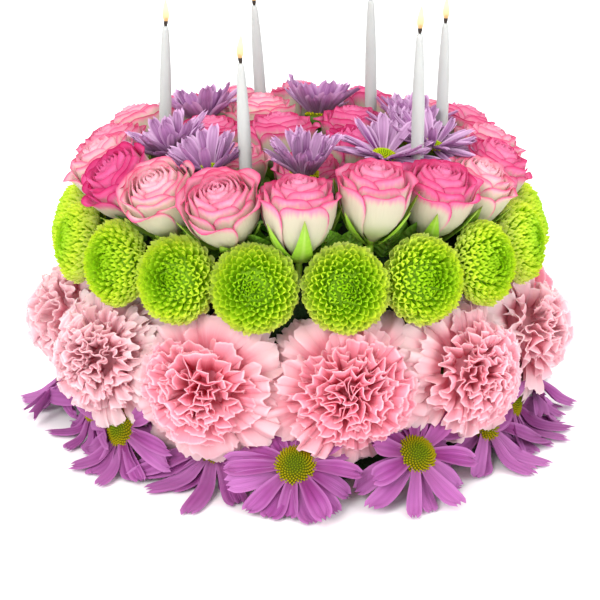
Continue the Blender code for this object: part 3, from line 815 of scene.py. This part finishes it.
finish = Finish("rose_leaves")
along, across = finish.reading("along"), finish.reading("across")
mottle = finish.noise(260, 3)
ribs = finish.node("Math", {"operation": "SINE"}, {0: along * 44 - abs(across) * 9}) * 0.5 + 0.5
colour = finish.blend(mottle, (0.12, 0.31, 0.014), (0.22, 0.45, 0.04))
colour = finish.blend(finish.smooth(ribs, 0.8, 1.0) * 0.4, colour, (0.28, 0.50, 0.10))
colour = finish.blend(finish.smooth(abs(across), 0.16, 0.02) * 0.7, colour, (0.26, 0.46, 0.11))
leaf_finish = finish.petal(colour, 0.42, 0.4, ribs + mottle, 0.3 * MM)

leaves = Bunch()
grain = np.random.default_rng(350)
for i in range(3 * len(rose_nodes)):  # three upright leaves between each two cups of the ring
    bearing = np.radians(20 * (i // 3) + (6, 10, 14)[i % 3] + grain.uniform(-1.5, 1.5))
    middle, v, u = leaf_blade(grain)
    seat = on_plan(bearing, grain.uniform(85, 90) * MM, foam_height - (7, 4, 7)[i % 3] * MM)
    leaves.grow(middle, 0.35 * MM, (seat, bearing, np.radians(grain.uniform(58, 82))), along=v, across=u)
hearts = np.array([solid(node)[2][:2] for node in crown_rose_nodes])
spots = 100
for k in range(spots):  # flatter ones on a spiral over the crown, each away from the nearest rose
    seat = on_plan(k * golden, 76 * MM * np.sqrt((k + 0.5) / spots), foam_height - 1.5 * MM)
    away = seat[:2] - hearts
    gap = np.hypot(*away.T)
    nearest = away[gap.argmin()]
    middle, v, u = leaf_blade(grain)
    bearing = np.arctan2(nearest[0], -nearest[1]) + grain.uniform(-0.5, 0.5)
    elevation = np.radians(grain.uniform(15, 50))
    if gap.min() > 10 * MM:
        leaves.grow(middle, 0.35 * MM, (seat, bearing, elevation), along=v, across=u)
leaves.make("rose_leaves", leaf_finish, rose_nodes + crown_rose_nodes, "floral_foam")

# -------------------------------- the crown's daisies
# Lavender spray daisies on their stems between the roses. Their petals still stand up round
# the eye like a shuttlecock, so their pale backs show as much as their faces.

crown_finish = daisy_finish(
    "lavender_daisy_petals", face=(0.37, 0.085, 0.36), deep=(0.18, 0.018, 0.16), back=(0.76, 0.47, 0.75),
    edge=(0.82, 0.57, 0.80), through=0.4, border=0.6)
crown_eye_finish = eye_finish("green_daisy_eye", (0.26, 0.38, 0.003), (0.42, 0.42, 0.006))
crown_daisy_nodes = [f"crown_daisy_{i:02d}" for i in range(1, 10)]
heights = (135, 135, 137, 140, 140, 135, 134, 134, 135)  # of the eye, in mm
slopes = (0.70, 0.65, 0.95, 0.22, 0.30, 0.55, 0.6, 0.7, 0.75)  # of the petals, in radians
breadths = (1.35, 1.3, 1.0, 1.0, 0.95, 1.0, 1.45, 1.8, 1.7)  # of the petals; broad ones are fewer
cup = MM * np.array([(1.5, -7), (4.5, -4.5), (6.6, -1.2), (6.0, 0.2)])
petals, eyes, stems = Bunch(), Bunch(), Bunch()
for i, node in enumerate(crown_daisy_nodes):
    _, _, centre, bearing = solid(node)
    grain = np.random.default_rng(400 + i)
    seat = np.array([centre[0], centre[1], heights[i] * MM]) - on_plan(bearing, 2 * MM, 0)
    stance, broad = (seat, bearing, np.radians(76)), breadths[i]
    for ring in range(2):
        count = round((18, 15)[ring] / broad**0.7)
        azimuth = 2 * np.pi * (np.arange(count) + 0.5 * ring + grain.uniform(-0.3, 0.3, count)) / count
        length = grain.uniform(18.5, 24.0, count) * MM * (1 - 0.12 * ring)
        rise = slopes[i] + 0.3 * ring + grain.uniform(-0.2, 0.2, count)
        width = grain.uniform(3.9, 5.6, count) * MM * broad
        middle, v, u = strap_petals(
            azimuth, length, width, 3.4 * MM, rise, grain.uniform(-0.5, 0.25, count),
            np.full(count, -0.5 * MM), grain.uniform(-2, 2, count) * MM, cup=0.2)
        shade = grain.uniform(0, 1, count)[:, None, None]
        petals.grow(middle, 0.4 * MM, stance, sided=True, along=v, across=u, tone=shade)
    points, faces, rank, top = eye(6.4 * MM, 2.6 * MM, 130)
    eyes.add(facing(points, *stance), faces, rank=rank, top=top)
    stems.add(facing(turned(cup, 16), *stance), skin(4, 16))
    foot = np.array([seat[0], seat[1], foam_height])
    stem = turned([(1.4 * MM, -3 * MM), (1.4 * MM, 17 * MM), (1.6 * MM, seat[2] - foam_height - 5 * MM)], 10)
    stems.add(stem + foot, skin(3, 10))
petals.make("crown_petals", crown_finish, crown_daisy_nodes, "daisy_petal")
eyes.make("crown_eyes", crown_eye_finish, crown_daisy_nodes, "daisy_petal")
stems.make("crown_stems", stem_finish, crown_daisy_nodes, "daisy_petal")

# -------------------------------- the tapers
# Slim hand-dipped tapers of white wax, pushed into the foam through the blooms. Each narrows
# over its last third to a charred cotton wick with a small pointed flame.

finish = Finish("white_wax")
ripple = finish.noise(60, 2)
colour = finish.blend(ripple, (0.375, 0.388, 0.380), (0.42, 0.433, 0.424))
wax_finish = finish.surface(finish.shader(colour, 0.38, ripple, 0.3 * MM, **{
    "Subsurface Weight": 0.6, "Subsurface Radius": (3 * MM, 2.7 * MM, 2.4 * MM), "Subsurface Scale": 1.0}))

finish = Finish("charred_wick")
fray = finish.noise(3000, 2)
colour = finish.ramp(fray, (0.3, (0.006, 0.005, 0.004)), (0.7, (0.04, 0.025, 0.018)))
wick_finish = finish.surface(finish.shader(colour, 0.9, fray, 0.1 * MM))

finish = Finish("flame")
rise = finish.reading("rise")
heat = finish.ramp(
    rise, (0.0, (0.85, 0.42, 0.14)), (0.25, (1.0, 0.72, 0.36)),
    (0.6, (1.0, 0.84, 0.60)), (1.0, (1.0, 0.80, 0.58)))
glow = finish.node("Emission", sockets={"Color": heat, "Strength": 1.3})
clear = finish.node("BsdfTransparent")
flame_finish = finish.surface(finish.node("MixShader", sockets={0: 0.8, 1: clear, 2: glow}))

wax, wicks, flames = Bunch(), Bunch(), Bunch()
candle_nodes = [f"candle_{i}" for i in range(1, 7)]
leans = (2, -3, -5, -1, 0, 1)  # of the tip towards +X, in mm
wick_length = 4 * MM
rows = np.array([0, 0.2, 0.4, 0.55, 0.62, 0.70, 0.78, 0.86, 0.93, 0.975, 0.992, 1.0])
thick = np.array([3.0, 3.0, 3.0, 2.98, 2.92, 2.78, 2.55, 2.25, 1.92, 1.62, 1.35, 0.8]) * MM
for node, lean in zip(candle_nodes, leans):
    low, high, centre, _ = solid(node)
    lean = lean * MM
    foot = np.array([centre[0] - lean / 2, centre[1], low[2]])
    length = high[2] - wick_length - low[2]
    sway = np.stack([lean * rows, 0 * rows], -1)
    wax.add(turned(np.stack([thick, rows * length], -1), 28, sway) + foot, skin(12, 28))
    top = foot + [lean, 0, length]
    s = np.linspace(0, 1, 8)
    bend = chance.uniform(-0.6, 0.6) * MM
    girth = (0.45 + 0.55 * np.sin(np.pi * s**1.3)) * MM
    sway = np.stack([bend * s**2, 0 * s], -1)
    wicks.add(turned(np.stack([girth, -1 * MM + 5.0 * MM * s], -1), 8, sway) + top, skin(8, 8))
    s = np.linspace(0, 1, 16)
    waist = 1.75 * MM * np.sin(np.pi * s**0.72) ** 0.85 * (1 - 0.30 * s) + 0.02 * MM
    drift = chance.uniform(-0.8, 0.8) * MM
    sway = np.stack([bend * 0.5 + drift * s**2, 0 * s], -1)
    flame = turned(np.stack([waist, 1.6 * MM + 11.5 * MM * s], -1), 18, sway)
    flames.add(flame + top, skin(16, 18), rise=np.concatenate([np.repeat(s, 18), [0, 1]]))
wax.make("tapers", wax_finish, candle_nodes, "candle_wax")
wicks.make("wicks", wick_finish, candle_nodes, "candle_wax")
flames.make("flames", flame_finish, candle_nodes, "candle_wax")

# -------------------------------- the table and the light
# A plain white sweep under soft daylight: a broad key from the upper left front, a weaker
# fill from the right, and white all round.

finish = Finish("white_sweep")
floor_finish = finish.surface(finish.shader((0.93, 0.93, 0.93, 1), 0.8))
mesh = bpy.data.meshes.new("sweep")
half, level = 6, -0.5 * MM  # just below the foot, so that the two don't share a face
corners = [(-half, -half, level), (half, -half, level), (half, half, level), (-half, half, level)]
mesh.from_pydata(corners, [], [(0, 1, 2, 3)])
mesh.materials.append(floor_finish)
sweep = bpy.data.objects.new("sweep", mesh)
link(sweep)


def softbox(name, place, target, size, power, colour):
    """A round area light of this width in metres and power in watts, turned to the target."""
    light = bpy.data.lights.new(name, "AREA")
    light.shape, light.size, light.energy, light.color = "DISK", size, power, colour
    made = bpy.data.objects.new(name, light)
    link(made)
    made.location = place
    away = np.array(place, float) - target
    turn = np.arctan2(away[1], away[0]) + np.pi / 2
    made.rotation_euler = np.arctan2(np.hypot(*away[:2]), away[2]), 0, turn


softbox("key", (-0.8, -1.5, 1.1), (0, 0, 0.08), 1.1, 32, (1.0, 0.99, 0.97))
softbox("fill", (1.3, -1.3, 0.6), (0, 0, 0.08), 1.2, 16, (0.98, 0.99, 1.0))
softbox("top", (0.1, 0.4, 1.6), (0, 0, 0.1), 1.2, 18, (1, 1, 1))

world = bpy.data.worlds.new("white_studio")
world.use_nodes = True
sky = world.node_tree.nodes["Background"].inputs
sky["Color"].default_value, sky["Strength"].default_value = (1, 1, 1, 1), 1.12
bpy.context.scene.world = world
bpy.context.scene.view_settings.view_transform = "Standard"

camera = bpy.data.objects.new("camera", bpy.data.cameras.new("camera"))
link(camera)
camera.location = (0, -0.900, 0.363)
dip = np.radians(18.87)  # below level
camera.rotation_euler = (np.pi / 2 - dip, 0, 0)
camera.data.lens, camera.data.sensor_width = 115.1, 36
camera.data.clip_start = 0.01
bpy.context.scene.camera = camera
